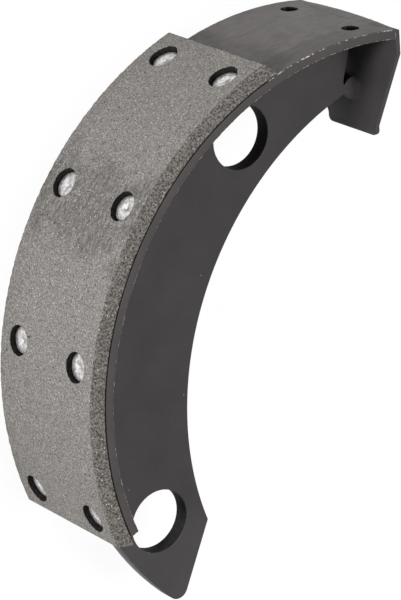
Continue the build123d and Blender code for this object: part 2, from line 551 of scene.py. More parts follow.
def model_rim():
    """The rolled strip with its leaning end, nicked edges and five rows of holes."""
    ends = (PLATE_END, ANCHOR_END)
    rim = rolled_strip("rim_strip", RIM_INNER, RIM_OUTER, ends, RIM_CELL, RIM_CELLS_DEEP)
    meet_plate(rim)
    bevel_edges(rim, width=0.4 * MM, finishes=4)
    wear_strip_edges(
        rim, RIM_INNER, RIM_OUTER, reach=0.7 * MM, depth=0.5 * MM, size=1.8 * MM, share=0.6
    )
    outline = [(HOLE_RADIUS, RIM_INNER - 6 * MM), (HOLE_RADIUS, RIM_OUTER + 6 * MM)]
    combine(rim, hole_cutters(ROWS, outline))
    # The walls of the rim's holes and its faces under the lining are darkened as painted shade.
    finish_faces(rim, PAINTED_SHADE, in_a_hole(ROWS, HOLE_RADIUS + 0.1 * MM))
    finish_faces(rim, SHEARED, lambda face: abs(face.normal.z) > 0.97)
    finish_faces(rim, PAINTED_SHADE, under_lining)
    smooth(rim)
    return rim


rim = model_rim()
print(closed(rim))

# %% [markdown]
# Cut plate and round bar
#
# The web and the end plate are cut from flat plate. A cube that is scaled would need all
# its corners moved afterwards, so a plate here is a polygon whose corners are placed one
# by one before it is extruded. A round bar is Blender's cylinder, whose flat sides are
# made so narrow that they don't show. Both serve as pieces and as tools to cut with.

# %% Plate and bar


def plate(name, corners, low, high):
    """A polygon in the XY plane, extruded from one height to another."""
    bpy.ops.object.select_all(action="DESELECT")
    bpy.ops.mesh.primitive_circle_add(vertices=len(corners), radius=MM, fill_type="NGON")
    piece = bpy.context.object
    piece.name = name
    for vertex, corner in zip(piece.data.vertices, corners):
        vertex.co = (corner[0], corner[1], low)
    edit(piece)
    bpy.ops.mesh.extrude_region_move(TRANSFORM_OT_translate={"value": (0, 0, high - low)})
    leave_edit()
    tidy_normals(piece)
    return piece


def cylinder(name, radius, centre, half_height, sides=96):
    """A plain round bar along Z, used to cut with or to cut from."""
    bpy.ops.object.select_all(action="DESELECT")
    bpy.ops.mesh.primitive_cylinder_add(vertices=sides, radius=radius, depth=2 * half_height)
    bar = bpy.context.object
    bar.name = name
    bar.data.transform(Matrix.Translation((centre[0], centre[1], 0)))
    return bar


def round_corner(piece, place, radius):
    """Rounds the upright edge of a plate that stands nearest to a place."""
    edit(piece)
    shape = bmesh.from_edit_mesh(piece.data)
    upright = [e for e in shape.edges if abs(e.verts[0].co.z - e.verts[1].co.z) > MM]
    nearest = min(upright, key=lambda e: (e.verts[0].co.xy - place.xy).length)
    index = nearest.index
    choose(piece, "EDGE", lambda edge: edge.index == index)
    bpy.ops.mesh.bevel(offset=radius, offset_type="OFFSET", segments=8, affect="EDGES")
    leave_edit()


# %% [markdown]
# The web's two ends
#
# At the anchor end the web runs out to a tip with a flatter outer arc and a straight,
# slanted flank, and the tip is rounded. At the other end it stops on the end plate. A
# bevel can't follow the corner between an arc and a line closely, so the rounding's arc is
# worked out, and a tool that lies outside the arc cuts the tip to shape.

# %% Tools for the web's ends
TIP_AT = 268.6
TIP_EDGE_RADIUS = 173 * MM
TIP_ROUNDING = 6.1 * MM
TIP_STEPS = 12
FLANK_SLANT = 15.1
TOOL_HALF = 2 * HALF_WEB


def block(name, reach, half_height):
    """A block on the far side of the X axis, as wide and as deep as its reach."""
    corners = [(-reach, 0), (reach, 0), (reach, reach), (-reach, reach)]
    return plate(name, corners, -half_height, half_height)


def flatten_tip(web):
    """Moves the disc's edge past the rim's end out to a flatter arc."""
    centre = polar(RIM_INNER - TIP_EDGE_RADIUS, ANCHOR_END)
    for vertex in web.data.vertices:
        if ANCHOR_END < angle_of(vertex.co) < TIP_AT + FLANK_SLANT:
            out = polar(1, angle_of(vertex.co))
            along = centre.dot(out)
            radius = along + sqrt(TIP_EDGE_RADIUS**2 - centre.length_squared + along**2)
            vertex.co.xy = (out * radius).xy


def flank_tool():
    """A block that covers all that lies past the flank, and stops short of the foot."""
    turn = Matrix.Rotation(radians(TIP_AT + FLANK_SLANT), 4, "Z")
    tool = block("flank_tool", 0.6 * DRUM_RADIUS, TOOL_HALF)
    tool.data.transform(Matrix.Translation(polar(RIM_INNER, TIP_AT)) @ turn)
    return tool


def tip_tool():
    """What a round tip leaves over: the corner outside the rounding's arc."""
    hub = polar(RIM_INNER - TIP_EDGE_RADIUS, ANCHOR_END)
    along = polar(1, TIP_AT + FLANK_SLANT)
    past = polar(1, TIP_AT + FLANK_SLANT + 90)
    middle = polar(RIM_INNER, TIP_AT) - past * TIP_ROUNDING
    off = middle - hub
    to_arc = sqrt((TIP_EDGE_RADIUS - TIP_ROUNDING) ** 2 - off.dot(past) ** 2)
    middle += along * min(to_arc - off.dot(along), -to_arc - off.dot(along), key=abs)
    first, last = angle_of(middle - hub), angle_of(past) + 360
    turns = [first + (last - first) * step / TIP_STEPS for step in range(TIP_STEPS + 1)]
    arc = [middle + polar(TIP_ROUNDING, turn) for turn in turns]
    outside = middle + polar(6 * TIP_ROUNDING, (first + last) / 2)
    return plate("tip_tool", arc + [outside], -TOOL_HALF, TOOL_HALF)


def beyond_plate_tool():
    """A block that covers all that lies on the cam's side of the plate's inner face."""
    tool = block("beyond_tool", DRUM_RADIUS, DRUM_RADIUS)
    tool.data.transform(plate_frame())
    return tool


# %% [markdown]
# The cope
#
# Where the rim meets the end plate, the corner of the web is left open, so that the weld
# there isn't in the way. Welders call such a corner a cope. It is a small polygon, drawn
# along and across the line where the rim ends, with its inner corner rounded, and then
# turned to its place to cut with.

# %% Cope
COPE_DEPTH = 31.5 * MM
COPE_SLOPE = 30.0
COPE_LEAN = 8.0
COPE_ROUNDING = 3 * MM


def cope_corners():
    """The cope's outline, as places along and across the line where the rim ends."""
    bottom = RIM_INNER - COPE_DEPTH
    inset = COPE_DEPTH / 2 * tan(radians(COPE_LEAN))
    reach = COPE_DEPTH / 2
    rise = reach * tan(radians(COPE_SLOPE))
    return [(RIM_OUTER, -inset), (bottom, inset), (bottom + rise, -reach), (RIM_OUTER, -reach)]


def cope_tool():
    """The cope's outline as a tool, turned to where the rim ends."""
    cope = plate("cope", cope_corners(), -TOOL_HALF, TOOL_HALF)
    round_corner(cope, Vector(cope_corners()[1]).to_3d(), COPE_ROUNDING)
    cope.data.transform(Matrix.Rotation(radians(PLATE_END), 4, "Z"))
    return cope


# %% [markdown]
# The web
#
# The web is flame cut from plate: what is left of a disc when a second, offset disc is
# taken away. It could be traced as one long outline, but two cylinders and a few cuts
# follow the way that it is really made, and every size stays a radius or an angle. The
# holes' places come from the loaded frame, and a thin bevel breaks every edge.

# %% Web
WEB_INNER_RADIUS = 162.2 * MM
WEB_DEPTH = 74.4 * MM
DEEPEST_AT = 195.0
HEEL_ROUNDING = 3 * MM
DISC_SIDES = 360
HOLES = [m for m in frame["record"]["mounts"] if m["name"] in ("anchor_hole", "spring_hole")]
# The material number for painted shade on the walls of the web's two holes.
WEB_HOLE_SHADE = 2


def in_a_web_hole(face):
    """Whether a face is on the wall of one of the web's two round holes."""
    return abs(face.normal.z) < 0.3 and any(
        (face.center.xy - Vector(hole["pos_m"]).xy).length < hole["dims"]["r_mm"] * MM + 0.1 * MM
        for hole in HOLES
    )


def flat_faces(piece, test):
    """Shades the faces that pass a test flat, so that a large flat stays even."""
    edit(piece)
    choose(piece, "FACE", test)
    bpy.ops.mesh.faces_shade_flat()
    leave_edit()


def model_web():
    """The crescent with its tip, foot, cope and two holes."""
    web = cylinder("web_plate", RIM_INNER, (0, 0), HALF_WEB, sides=DISC_SIDES)
    flatten_tip(web)
    bite_at = -polar(WEB_INNER_RADIUS - (RIM_INNER - WEB_DEPTH), DEEPEST_AT)
    combine(web, cylinder("bite", WEB_INNER_RADIUS, bite_at, TOOL_HALF, sides=DISC_SIDES))
    combine(web, flank_tool())
    combine(web, beyond_plate_tool())
    tidy_normals(web)
    combine(web, tip_tool())
    near_heel = polar(RIM_INNER - WEB_DEPTH / 1.6, 262)
    round_corner(web, near_heel, HEEL_ROUNDING)
    combine(web, cope_tool())
    for hole in HOLES:
        combine(web, cylinder("drill", hole["dims"]["r_mm"] * MM, hole["pos_m"], TOOL_HALF))
    bevel_edges(web, width=0.35 * MM, finishes=3)
    # The walls of the web's two holes are darkened as painted shade.
    finish_faces(web, WEB_HOLE_SHADE, in_a_web_hole)
    smooth(web)
    flat_faces(web, lambda face: abs(face.normal.z) > 0.99)
    return web


web = model_web()
print(closed(web))

# %% [markdown]
# The end plate
#
# The brake's cam turns against this plate and so pushes the shoe outwards. It is a flat
# steel plate, as wide as the rim at its welded edge and tapered to a short tab with two
# round corners. It could be a scaled cube with moved corners, but the polygon gives the
# shoulders and the taper at once. Its welded edge is cut flush with the rim's curve by
# keeping only what it shares with a round bar of the rim's radius.

# %% End plate
SHOULDER = 13.2 * MM
TAB_LENGTH = 5 * MM
TAB_HALF = 19.6 * MM
TAB_ROUNDING = 3 * MM
PLATE_SPARE = 5 * MM
FINE_SIDES = 720


def model_end_plate():
    """The tapered plate, drawn flat, stood in its frame and cut flush with the rim."""
    side = [
        (HALF_WIDTH, -PLATE_SPARE),
        (HALF_WIDTH, SHOULDER),
        (TAB_HALF, PLATE_LENGTH - TAB_LENGTH),
        (TAB_HALF, PLATE_LENGTH),
    ]
    corners = side + [(-x, y) for x, y in reversed(side)]
    cam_plate = plate("cam_end_plate", corners, -PLATE_THICKNESS, 0)
    for x in (-TAB_HALF, TAB_HALF):
        round_corner(cam_plate, Vector((x, PLATE_LENGTH, 0)), TAB_ROUNDING)
    stand = Matrix.Rotation(pi / 2, 4, "X")
    cam_plate.data.transform(plate_frame() @ stand)
    flush = cylinder("flush", RIM_OUTER, (0, 0), 2 * HALF_WIDTH, sides=FINE_SIDES)
    combine(cam_plate, flush, "INTERSECT")
    tidy_normals(cam_plate)
    bevel_edges(cam_plate, width=0.35 * MM)
    smooth(cam_plate)
    return cam_plate


end_plate = model_end_plate()
print(closed(end_plate))

# %% [markdown]
# The rivets
#
# The lining is held by semi-tubular rivets. Each has a flat head that sits in a
# counterbore, a shank through the lining and the rim, and a hollow tail that the setting
# tool has rolled outwards. It is one turned piece: from the bottom of the tail's bore,
# round the rolled lip, up the shank and over the head to the small mark that the tool
# left. It is modelled once, and the others are copies with their own mesh, so that each
# keeps its place in its mesh.

# %% Rivets
SHANK_RADIUS = HOLE_RADIUS - 0.1 * MM
TAIL_RADIUS = 6.75 * MM
TAIL_BORE = 2.6 * MM
TAIL_HEIGHT = 2.4 * MM
TAIL_SEAT = sqrt(RIM_INNER**2 - TAIL_RADIUS**2)
TAIL_END = TAIL_SEAT - TAIL_HEIGHT


def model_rivet():
    """A rivet along Z, from its tail to its head."""
    bore = [
        (TAIL_BORE * 0.8, TAIL_END + 10 * MM),
        (TAIL_BORE, TAIL_END + 9.6 * MM),
        (TAIL_BORE, TAIL_END + 1.2 * MM),
    ]
    rolled_lip = [
        (TAIL_BORE + 0.4 * MM, TAIL_END + 0.4 * MM),
        (TAIL_BORE + 1.3 * MM, TAIL_END),
        (TAIL_RADIUS - 1.2 * MM, TAIL_END),
        (TAIL_RADIUS - 0.35 * MM, TAIL_END + 0.5 * MM),
        (TAIL_RADIUS, TAIL_END + 1.3 * MM),
        (TAIL_RADIUS - 0.1 * MM, TAIL_SEAT),
    ]
    shank = [(SHANK_RADIUS, TAIL_SEAT), (SHANK_RADIUS, HEAD_SEAT)]
    head = [
        (HEAD_RADIUS - 0.1 * MM, HEAD_SEAT),
        (HEAD_RADIUS, HEAD_SEAT + 0.15 * MM),
        (HEAD_RADIUS, HEAD_TOP - 0.5 * MM),
        (HEAD_RADIUS - 0.12 * MM, HEAD_TOP - 0.22 * MM),
        (HEAD_RADIUS - 0.5 * MM, HEAD_TOP - 0.03 * MM),
        (HEAD_RADIUS - 2 * MM, HEAD_TOP),
    ]
    tool_mark = [
        (1.2 * MM, HEAD_TOP - 0.02 * MM),
        (0.8 * MM, HEAD_TOP - 0.3 * MM),
        (0.3 * MM, HEAD_TOP - 0.4 * MM),
    ]
    rivet = turned("lining_rivet", bore + rolled_lip + shank + head + tool_mark)
    smooth(rivet, angle=40)
    return rivet


def copy_of(piece):
    """A copy of a piece with a mesh of its own."""
    alone(piece)
    bpy.ops.object.duplicate(linked=False)
    return bpy.context.object


rivet = model_rivet()
rivets = []
for angle in LINING_ROWS:
    for height in (-RIVET_SIDE, RIVET_SIDE):
        placed = copy_of(rivet)
        placed.data.transform(station(angle, height))
        rivets.append(placed)
bpy.data.objects.remove(rivet)
print(len(rivets), "rivets;", closed(rivets[0]))

# %% [markdown]
# A weld bead
#
# A weld bead is a chain of small frozen ripples in a corner between two pieces. A bump
# could fake the ripples, but not the lumpy outline, so they are in the mesh. A bead is
# extruded straight from its section, cut across many times, swollen a little at each
# ripple and rounded down at its ends. It is put into its corner only after that.

# %% Weld bead
RIPPLE = 1.5 * MM
CUTS_IN_A_RIPPLE = 4
RIPPLE_SWELL = 0.06
LUMP_SWELL = 0.08
LUMP_SIZE = 3 * MM


def cut_across(bead, cuts):
    """Cuts a straight bead across, evenly, by dividing its long edges."""
    half = max(abs(vertex.co.z) for vertex in bead.data.vertices)
    edit(bead)
    choose(bead, "EDGE", lambda edge: abs(edge.verts[0].co.z - edge.verts[1].co.z) > half)
    bpy.ops.mesh.subdivide(number_cuts=cuts)
    leave_edit()


def straight_bead(name, leg, other_leg, length, bulge):
    """A rippled bead along Z, in the corner between the X and the Y axis."""
    foot, end = Vector((leg, 0)), Vector((0, other_leg))
    top = Vector((leg / 2 + bulge, other_leg / 2 + bulge))
    full = 1 + 0.1 * bulge / MM
    shoulders = [foot.lerp(top, 0.5) * full, top, top.lerp(end, 0.5) * full]
    bead = plate(name, [Vector((0, 0)), foot, *shoulders, end], -length / 2, length / 2)
    cut_across(bead, round(CUTS_IN_A_RIPPLE * length / RIPPLE))
    for vertex in bead.data.vertices:
        place = vertex.co.z / RIPPLE + vertex.co.x / leg * 0.5
        lump = LUMP_SWELL * noise.noise(vertex.co / LUMP_SIZE)
        swell = 1 + RIPPLE_SWELL * abs(sin(pi * place)) + lump
        to_end = (length / 2 - abs(vertex.co.z)) / leg
        rounded = sqrt(max(0.04, 1 - max(0.0, 1 - to_end) ** 2))
        vertex.co.x *= swell * rounded
        vertex.co.y *= swell * rounded
    return bead


# %% [markdown]
# The stitches under the rim
#
# A full weld would pull the web out of flat, so it is joined to the rim by short
# stitches, four on each of its faces, between the rivet rows. One straight bead is the
# pattern. Each stitch is a copy of it that is wrapped round the drum's axis, which bends
# the bead exactly as the corner bends.

# %% Stitches
STITCH_LEG = 4 * MM
STITCH_ARC = 13.0
STITCH_BULGE = 0.6 * MM


def model_stitches(side):
    """The four beads between the rim and one face of the web."""
    middles = [(first + second) / 2 for first, second in zip(ROWS, ROWS[1:])]
    length = RIM_INNER * radians(STITCH_ARC)
    pattern = straight_bead("stitch", STITCH_LEG, STITCH_LEG, length, STITCH_BULGE)
    beads = []
    for middle in middles:
        bead = copy_of(pattern)
        for vertex in bead.data.vertices:
            angle = middle + side * degrees(vertex.co.z / RIM_INNER)
            vertex.co = polar(RIM_INNER - vertex.co.x, angle, side * (HALF_WEB + vertex.co.y))
        tidy_normals(bead)
        smooth(bead, angle=50)
        beads.append(bead)
    bpy.data.objects.remove(pattern)
    return join(beads)


stitches = {side: model_stitches(side) for side in (1, -1)}
print(closed(stitches[1]))

# %% [markdown]
# The beads at the web's foot
#
# Below the cope a narrow foot of the web touches the end plate, and a short bead joins
# them on each face. This one was laid hot and sank in, so its face is hollow where a
# stitch bulges, and the same bead is made with a bulge below nothing. It stays straight
# and is put on the plate by the plate's own frame.

# %% Foot beads
FOOT_LEG = 5 * MM
FOOT_REACH = 7 * MM
FOOT_HOLLOW = -1.1 * MM
FOOT_BEAD_LENGTH = 12.6 * MM
FOOT_AT = 37.9 * MM


def model_foot_bead(side):
    """The bead between the end plate and one face of the web's foot."""
    bead = straight_bead("foot_bead", FOOT_LEG, FOOT_REACH, FOOT_BEAD_LENGTH, FOOT_HOLLOW)
    turn = Matrix(((-side, 0, 0), (0, -1, 0), (0, 0, side))).to_4x4()
    place = Matrix.Translation((-side * HALF_WEB, 0, FOOT_AT))
    bead.data.transform(plate_frame() @ place @ turn)
    tidy_normals(bead)
    smooth(bead, angle=50)
    return bead


foot_beads = {side: model_foot_bead(side) for side in (1, -1)}
print(closed(foot_beads[1]))

# %% [markdown]
# The weld over the rim's end
#
# The joint between the rim's end and the end plate is welded from outside, and dressed
# so that it rises in a low arch from side to side. A grid could be bent over it, but this
# bead has to be closed and to sit in the rim's curve. So its section is extruded and cut
# across, lowered by the square of its distance from the middle, given a little
# unevenness, and cut off at the rim's surface.

# %% End weld
END_WELD_HALF = 38 * MM
END_WELD_RISE = 1.4 * MM
END_WELD_LAP = 6 * MM
END_WELD_CUTS = 96
SUNK = 0.03 * MM


def model_end_weld():
    """The low arch of weld metal over the joint, from one side of the rim to the other."""
    top = RIM_OUTER + END_WELD_RISE
    section = [
        (-END_WELD_LAP, RIM_OUTER),
        (-0.7 * END_WELD_LAP, top - 0.75 * MM),
        (-0.4 * END_WELD_LAP, top - 0.2 * MM),
        (0, top),
        (0.6 * PLATE_THICKNESS, top - 0.1 * MM),
        (PLATE_THICKNESS, top - 0.6 * MM),
        (PLATE_THICKNESS, RIM_INNER),
        (-END_WELD_LAP, RIM_INNER),
    ]
    weld = plate("rim_end_weld", section, -END_WELD_HALF, END_WELD_HALF)
    cut_across(weld, END_WELD_CUTS)
    for vertex in weld.data.vertices:
        drop = END_WELD_RISE * (vertex.co.z / END_WELD_HALF) ** 2
        rough = 0.12 * MM * noise.noise(vertex.co / (2.5 * MM))
        vertex.co.y += rough - drop
    rows = Matrix((polar(1, PLATE_END - 90), polar(1, PLATE_END), (0, 0, 1))).transposed()
    weld.data.transform(rows.to_4x4())
    tidy_normals(weld)
    under = cylinder("under", RIM_OUTER - SUNK, (0, 0), 2 * HALF_WIDTH, sides=FINE_SIDES)
    combine(weld, under)
    smooth(weld, angle=40)
    return weld


end_weld = model_end_weld()
print(closed(end_weld))

# %% [markdown]
# How the finishes are built
#
# Every finish here is procedural. It could be painted on an unwrapped surface, but noise
# that reads a point's place in the part never slides or stretches, and its grain has a
# size in millimetres. Three nodes do most of the work: noise for cloudy variation, a map
# range that turns noise into a mask with soft edges, and a mix of two colours by that
# mask. This helper adds them one at a time and links them.

# %% Finish helper


class Finish:
    """A material whose nodes are added one at a time."""

    def __init__(self, name, metallic=0.0, gloss=0.08):
        self.material = bpy.data.materials.new(name)
        self.material.use_nodes = True
        self.tree = self.material.node_tree
        self.shader = self.tree.nodes["Principled BSDF"]
        self.shader.inputs["Metallic"].default_value = metallic
        self.shader.inputs["Specular IOR Level"].default_value = gloss
        self.place = self.tree.nodes.new("ShaderNodeTexCoord").outputs["Object"]

    def feed(self, socket, value):
        """Links a node's output to a socket, or sets the socket to a plain value."""
        if isinstance(value, bpy.types.NodeSocket):
            self.tree.links.new(value, socket)
        else:
            socket.default_value = value

    def stretched(self, scale):
        """Places measured with a different ruler along each axis."""
        node = self.tree.nodes.new("ShaderNodeMapping")
        self.feed(node.inputs["Vector"], self.place)
        node.inputs["Scale"].default_value = scale
        return node.outputs["Vector"]

    def noise(self, size, detail, roughness, place=None):
        """Cloudy noise whose clouds are about a size across."""
        node = self.tree.nodes.new("ShaderNodeTexNoise")
        self.feed(node.inputs["Vector"], place or self.place)
        node.inputs["Scale"].default_value = 1 / size
        node.inputs["Detail"].default_value = detail
        node.inputs["Roughness"].default_value = roughness
        return node.outputs["Fac"]

    def grains(self, size):
        """The distance to the nearest of many scattered points."""
        node = self.tree.nodes.new("ShaderNodeTexVoronoi")
        self.feed(node.inputs["Vector"], self.place)
        node.inputs["Scale"].default_value = 1 / size
        return node.outputs["Distance"]

    def ramp(self, value, low, high, start=0.0, end=1.0):
        """A value run from a start to an end while it goes from low to high."""
        node = self.tree.nodes.new("ShaderNodeMapRange")
        self.feed(node.inputs["Value"], value)
        node.inputs["From Min"].default_value = low
        node.inputs["From Max"].default_value = high
        node.inputs["To Min"].default_value = start
        node.inputs["To Max"].default_value = end
        return node.outputs["Result"]

    def maths(self, operation, first, second):
        """One step of arithmetic."""
        node = self.tree.nodes.new("ShaderNodeMath")
        node.operation = operation
        self.feed(node.inputs[0], first)
        self.feed(node.inputs[1], second)
        return node.outputs["Value"]

    def blend(self, share, first, second):
        """Two colours mixed by a share."""
        node = self.tree.nodes.new("ShaderNodeMix")
        node.data_type = "RGBA"
        self.feed(node.inputs[0], share)
        for socket, colour in ((node.inputs[6], first), (node.inputs[7], second)):
            self.feed(socket, (*colour, 1) if isinstance(colour, tuple) else colour)
        return node.outputs[2]

    def axis(self, name):
        """One of a place's three coordinates."""
        node = self.tree.nodes.new("ShaderNodeSeparateXYZ")
        self.feed(node.inputs["Vector"], self.place)
        return node.outputs[name]

    def around(self):
        """A place's angle round the drum's axis, in degrees, as everywhere else."""
        back = self.maths("MULTIPLY", self.axis("Y"), -1.0)
        opposite = self.maths("MULTIPLY", self.axis("X"), -1.0)
        from_middle = self.maths("ARCTAN2", back, opposite)
        return self.maths("ADD", self.maths("MULTIPLY", from_middle, 180 / pi), 180.0)

    def finish(self, colour, roughness, bump, depth, strength):
        """Feeds the shader, and makes a bump from a value with a depth in metres."""
        self.feed(self.shader.inputs["Base Color"], colour)
        self.feed(self.shader.inputs["Roughness"], roughness)
        node = self.tree.nodes.new("ShaderNodeBump")
        self.feed(node.inputs["Height"], bump)
        node.inputs["Distance"].default_value = depth
        node.inputs["Strength"].default_value = strength
        self.feed(self.shader.inputs["Normal"], node.outputs["Normal"])
        return self.material


# %% [markdown]
# The ground face of the lining
#
# Friction compound is resin packed with fibres, fillers and metal chips. Ground flat, it
# is a fine pepper of light and dark, with a few bright chips and small pits. One noise
# would look like sand, so three sizes of it are laid over each other. Hands and tools have
# left a darker smear in the middle, and a soft band of angles keeps it there.

# %% Ground friction finish
PEPPER_DARK = (0.135, 0.127, 0.12)
PEPPER_LIGHT = (0.33, 0.312, 0.295)
SMEARED = (0.07, 0.066, 0.062)
METAL_CHIP = (0.62, 0.59, 0.54)
PIT = (0.05, 0.046, 0.043)
PATCH_AT = 182.0


def handled_patch(look):
    """A soft-edged patch in the middle of the face, where hands have smeared it."""
    wander = look.ramp(look.noise(12 * MM, 3, 0.6), 0.3, 0.7, -5.0, 5.0)
    place = look.maths("ADD", look.around(), wander)
    from_middle = look.maths("ABSOLUTE", look.maths("SUBTRACT", place, PATCH_AT), 0.0)
    return look.ramp(from_middle, 9.0, 5.0)


def ground_friction():
    """Pepper of three sizes, with a smear, bright chips and dark pits."""
    look = Finish("ground_friction")
    grain = look.noise(0.8 * MM, 3, 0.6)
    coarse = look.noise(2.6 * MM, 3, 0.65)
    cloud = look.noise(9 * MM, 4, 0.6)
    base = look.blend(look.ramp(grain, 0.4, 0.6), PEPPER_DARK, PEPPER_LIGHT)
    mottled = look.blend(look.ramp(coarse, 0.5, 0.68, 0.0, 0.35), base, (0.15, 0.14, 0.13))
    clouded = look.blend(look.ramp(cloud, 0.5, 0.75, 0.0, 0.25), mottled, (0.17, 0.16, 0.15))
    smear = look.noise(3 * MM, 6, 0.75, look.stretched((0.5, 0.5, 1.6)))
    handled = look.maths("MULTIPLY", look.ramp(smear, 0.4, 0.62), handled_patch(look))
    scuffed = look.blend(look.maths("MULTIPLY", handled, 0.7), clouded, SMEARED)
    chips = look.ramp(look.grains(2.6 * MM), 0.15, 0.1)
    flecked = look.blend(look.maths("MULTIPLY", chips, 0.8), scuffed, METAL_CHIP)
    pits = look.ramp(look.noise(1.4 * MM, 1, 0.4), 0.3, 0.25)
    return look.finish(look.blend(pits, flecked, PIT), 0.85, grain, 0.14 * MM, 0.5)


# %% [markdown]
# The lining's sides and the insides of holes
#
# The moulded sides were never ground, so they're coarser, browner and deeper pitted, with fibres
# that lie along the strip. The same noise, stretched along two axes, gives those. Holes and
# seams get painted shade: their colour is made nearly black where shade falls, in a mottled
# finish of their own.

# %% Moulded friction and painted shade
FIBRE_DARK = (0.04, 0.036, 0.033)
FIBRE_LIGHT = (0.25, 0.232, 0.215)
BRASS_CHIP = (0.62, 0.57, 0.47)


def moulded_friction():
    """Coarse fibres with a few yellowish chips."""
    look = Finish("moulded_friction")
    fibre = look.noise(1.1 * MM, 4, 0.7, look.stretched((1, 1, 1.6)))
    cloud = look.noise(5 * MM, 3, 0.6)
    base = look.blend(look.ramp(fibre, 0.4, 0.6), FIBRE_DARK, FIBRE_LIGHT)
    clouded = look.blend(look.ramp(cloud, 0.45, 0.7, 0.0, 0.45), base, (0.08, 0.073, 0.066))
    chips = look.ramp(look.grains(3.4 * MM), 0.13, 0.08)
    colour = look.blend(look.maths("MULTIPLY", chips, 0.85), clouded, BRASS_CHIP)
    return look.finish(colour, 0.9, fibre, 0.35 * MM, 0.7)


def painted_shade_finish(name, dark, light):
    """Painted shade for the inside of a hole or a seam: a dark, mottled colour."""
    look = Finish(name)
    shade_mottle = look.noise(1.2 * MM, 3, 0.6)
    colour = look.blend(look.ramp(shade_mottle, 0.35, 0.7), dark, light)
    return look.finish(colour, 0.8, shade_mottle, 0.15 * MM, 0.4)


# %% [markdown]
# Paint on the web and the plate
#
# The web and the end plate have a smooth dark primer with a slight sheen. A single grey
# would look like plastic, so it is a little cloudy, its sheen changes over a millimetre
# or so, and a few specks of dust lie on it.

# %% Paint
WEB_PAINT = (0.054, 0.05, 0.051)
RIM_PAINT = (0.062, 0.056, 0.055)
WELD_PAINT = (0.052, 0.047, 0.05)
DUST = (0.2, 0.19, 0.18)


def painted(name, paint, sheen, depth=0.05 * MM):
    """Smooth paint, a little cloudy, with a few specks of dust."""
    look = Finish(name)
    cloud = look.noise(22 * MM, 5, 0.6)
    fine = look.noise(1.3 * MM, 3, 0.6)
    dark = tuple(0.9 * level for level in paint)
    light = tuple(1.12 * level for level in paint)
    base = look.blend(look.ramp(cloud, 0.3, 0.7), dark, light)
    specks = look.ramp(look.grains(14 * MM), 0.034, 0.022)
    roughness = look.ramp(fine, 0.3, 0.7, sheen - 0.04, sheen + 0.06)
    return look.finish(look.blend(specks, base, DUST), roughness, fine, depth, 0.35)


# %% [markdown]
# The rim's own paint
#
# The rim's primer is thinner and greyer, and the rolled steel shows through it as fine
# streaks along the strip. It is darker in a band along one side, and scraped bright in
# spots beside the lining's end. Both could be painted by hand, but a mask by place stays
# put when the rim changes, and a noise keeps its border from looking ruled.

# %% Rim paint
RIM_GREY_DARK = (0.135, 0.126, 0.123)
RIM_GREY_LIGHT = (0.175, 0.164, 0.16)
RIM_SHADE = (0.085, 0.079, 0.077)
SCRAPED = (0.45, 0.43, 0.4)


def rim_paint():
    """Thin grey primer over rolled steel, darker in a band along one edge."""
    look = Finish("rim_paint")
    cloud = look.noise(16 * MM, 5, 0.6)
    rolled = look.noise(2.4 * MM, 3, 0.6, look.stretched((0.35, 0.35, 1)))
    base = look.blend(look.ramp(cloud, 0.32, 0.7), RIM_GREY_DARK, RIM_GREY_LIGHT)
    streaked = look.blend(look.ramp(rolled, 0.42, 0.62, 0.0, 0.2), base, RIM_SHADE)
    wander = look.ramp(look.noise(14 * MM, 3, 0.6), 0.3, 0.7, -2.5 * MM, 2.5 * MM)
    band = look.ramp(look.maths("ADD", look.axis("Z"), wander), 22 * MM, 24 * MM)
    banded = look.blend(look.maths("MULTIPLY", band, 0.5), streaked, RIM_SHADE)
    scraped = look.ramp(look.noise(2.2 * MM, 4, 0.7), 0.6, 0.66)
    near_lining = look.ramp(look.around(), 143.0, 145.5)
    colour = look.blend(look.maths("MULTIPLY", scraped, near_lining), banded, SCRAPED)
    roughness = look.ramp(rolled, 0.3, 0.7, 0.42, 0.56)
    return look.finish(colour, roughness, rolled, 0.06 * MM, 0.4)


# %% [markdown]
# Worn edges
#
# Handling wears paint through to bright metal, and it does so on the edges first. A
# finish could look for edges by itself, but the bevels have a material number of their
# own, so the worn metal stays on them and only has to break up into patches. Bare metal
# mirrors and paint doesn't, so one mask drives both the colour and the metallic value.

# %% Worn edge
BARE_STEEL = (0.5, 0.48, 0.45)


def worn_edge(name, paint, bare_share):
    """An edge where the paint has come off in patches."""
    look = Finish(name)
    patches = look.noise(2.6 * MM, 6, 0.8)
    cut_off = 0.66 - 0.3 * bare_share
    bare = look.ramp(patches, cut_off, cut_off + 0.05)
    colour = look.blend(bare, paint, BARE_STEEL)
    look.feed(look.shader.inputs["Metallic"], look.ramp(bare, 0.0, 1.0, 0.0, 0.6))
    return look.finish(colour, 0.42, patches, 0.05 * MM, 0.4)


# %% [markdown]
# The rivets' plating
#
# The rivets are plated steel whose heads were battered a little as they were set: bright,
# rough, and mottled where the tool bore on them. Polished metal would only mirror the
# floor, so the plating is rough, and its mottle is both in its colour and in its bump.

# %% Plating
PLATE_DULL = (0.42, 0.41, 0.4)
PLATE_BRIGHT = (0.84, 0.83, 0.82)


def plated_steel():
    """Bright battered metal."""
    look = Finish("plated_steel", metallic=0.85, gloss=0.5)
    mottle = look.noise(1.9 * MM, 3, 0.6)
    fine = look.noise(0.5 * MM, 2, 0.6)
    colour = look.blend(look.ramp(mottle, 0.38, 0.6), PLATE_DULL, PLATE_BRIGHT)
    roughness = look.ramp(fine, 0.3, 0.7, 0.34, 0.5)
    return look.finish(colour, roughness, mottle, 0.25 * MM, 0.6)
